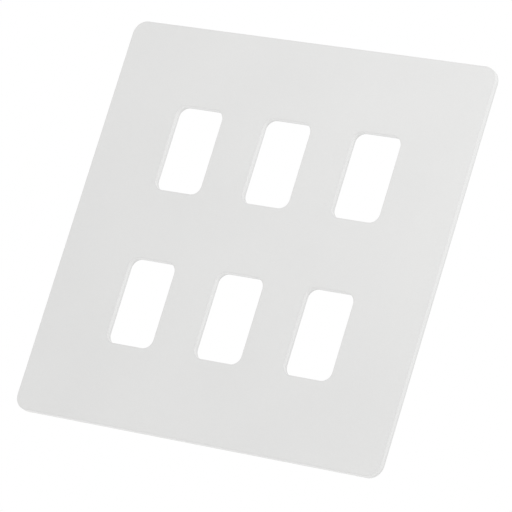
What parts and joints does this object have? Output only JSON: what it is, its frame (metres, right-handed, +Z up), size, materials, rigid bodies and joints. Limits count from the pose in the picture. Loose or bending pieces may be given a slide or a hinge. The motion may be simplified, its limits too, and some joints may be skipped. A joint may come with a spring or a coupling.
{
  "type": "grid switch plate",
  "caption": "Flat square white front plate with rounded windows in a grid, which clips over a wall frame of modular switches and leaves their fronts showing.",
  "frame": {"origin": "centre of the plate's back face", "axes": "+X right and +Z up as seen from the front, +Y into the wall; the front faces -Y"},
  "size_m": [0.146, 0.0107, 0.146],
  "materials": {
    "white_coat": "fine satin powder coat",
    "spring_steel": "plain rolled strip"
  },
  "bodies": {
    "root": {"face_plate": "white_coat", "snap_clips": "spring_steel"}
  },
  "joints": []
}
